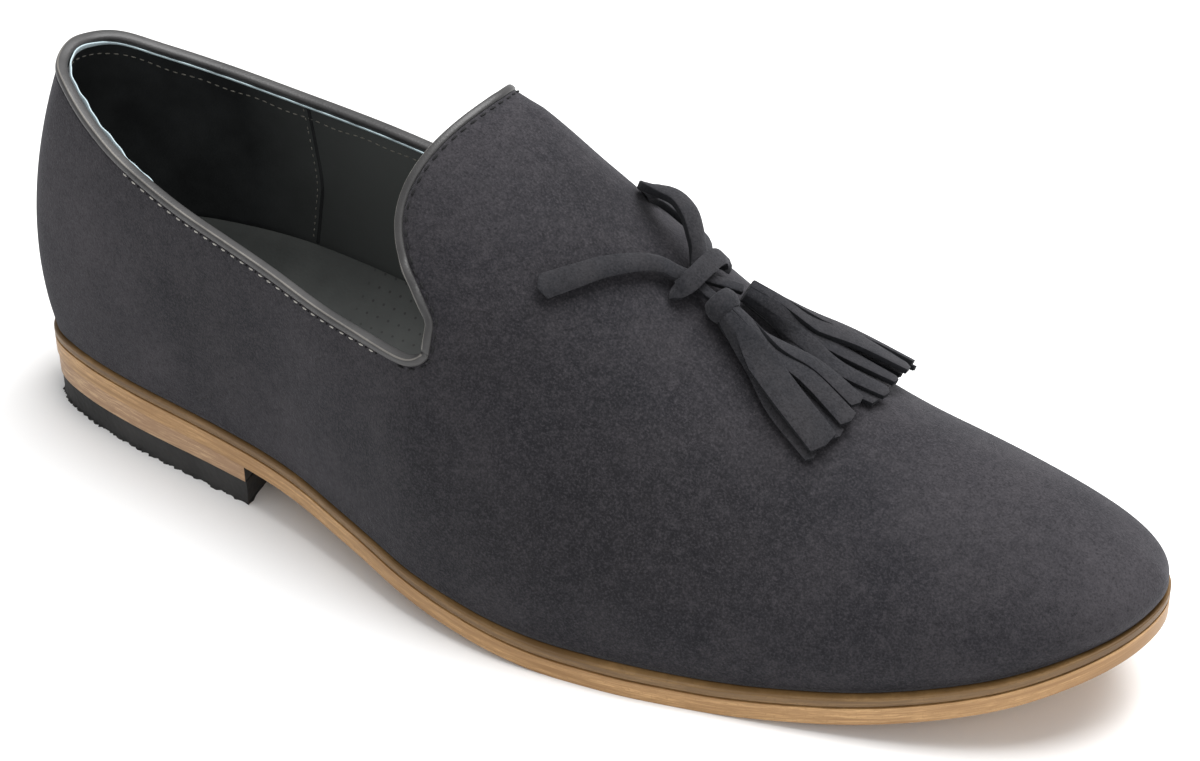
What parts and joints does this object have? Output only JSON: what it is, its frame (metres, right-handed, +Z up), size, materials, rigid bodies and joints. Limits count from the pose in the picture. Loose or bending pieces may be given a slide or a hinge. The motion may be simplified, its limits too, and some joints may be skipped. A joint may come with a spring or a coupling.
{
  "type": "tassel loafer",
  "caption": "Right shoe: slipper-style suede tassel loafer with a bound topline, a flat suede tie with two tassels and a low stacked heel.",
  "frame": {"origin": "middle of the shoe's box on the floor it stands on", "axes": "+X from the heel to the toe, +Z up, so the wearer's outer side of this right shoe is at -Y"},
  "size_m": [0.2924, 0.0982, 0.112],
  "materials": {
    "heel_rubber": "matte black rubber with a cut edge",
    "heel_tan": "stacked, fine layered wood-look side, satin",
    "sole_tan": "wood-look edge, satin",
    "welt_brown": "dyed brown rand, satin",
    "sock_leather": "smooth dark sock lining",
    "grey_suede": "napped suede, matte",
    "binding_leather": "smooth thin leather, low gloss",
    "tie_suede": "napped suede strip, matte"
  },
  "bodies": {
    "root": {"heel_top_piece": "heel_rubber", "heel_stack": "heel_tan", "outsole": "sole_tan", "welt": "welt_brown", "insole": "sock_leather", "upper": "grey_suede", "collar_binding": "binding_leather", "tie_knot": "tie_suede", "tie_loop": "tie_suede", "tie_end": "tie_suede", "tassel_cord_near": "tie_suede", "tassel_cord_far": "tie_suede", "tassel_near": "tie_suede", "tassel_far": "tie_suede"}
  },
  "joints": []
}
